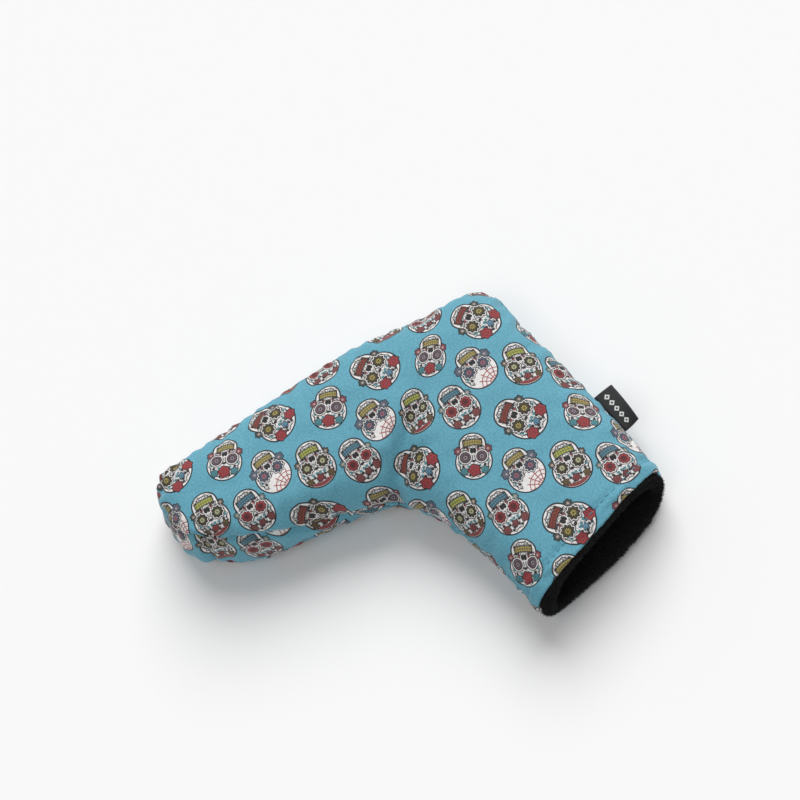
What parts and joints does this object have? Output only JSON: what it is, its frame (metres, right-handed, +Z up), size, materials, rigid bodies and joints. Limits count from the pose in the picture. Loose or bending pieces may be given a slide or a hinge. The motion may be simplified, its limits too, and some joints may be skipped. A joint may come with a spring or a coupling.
{
  "type": "putter head cover",
  "caption": "Padded L-shaped fabric sleeve that slips over a blade putter's head, with a plush-lined open neck and a sewn-in side tag.",
  "frame": {"origin": "under the middle of the bounding box, on the surface that the cover lies on", "axes": "+X from the heel to the toe, +Y from the sole to the open mouth of the neck, +Z up through the thickness, front panel on top"},
  "size_m": [0.192, 0.154, 0.04],
  "materials": {
    "printed_fabric": "matt printed polyester with a sugar-skull repeat on a teal scroll ground",
    "foam_padding": "soft batting",
    "plush_lining": "black short-pile plush",
    "sewing_thread": "spun polyester thread",
    "woven_tag": "black woven label tape"
  },
  "bodies": {
    "cover": {"front_panel": "printed_fabric", "back_panel": "printed_fabric", "boxing_strip": "printed_fabric", "front_padding": "foam_padding", "back_padding": "foam_padding", "boxing_padding": "foam_padding", "front_lining": "plush_lining", "back_lining": "plush_lining", "boxing_lining": "plush_lining", "hem_stitching": "sewing_thread", "outer_neck_stitching_front": "sewing_thread", "outer_neck_stitching_back": "sewing_thread", "inner_neck_stitching_front": "sewing_thread", "inner_neck_stitching_back": "sewing_thread"},
    "tag": {"side_tag": "woven_tag"}
  },
  "joints": [
    {"name": "tag_flex", "type": "hinge", "parent": "cover", "child": "tag", "pos_m": [-0.08816, 0.01946, 0.01782], "axis": [-0.0688, 0.9976, 0], "range_deg": [-75, 75], "stiffness_Nm_per_rad": 0.0002}
  ]
}
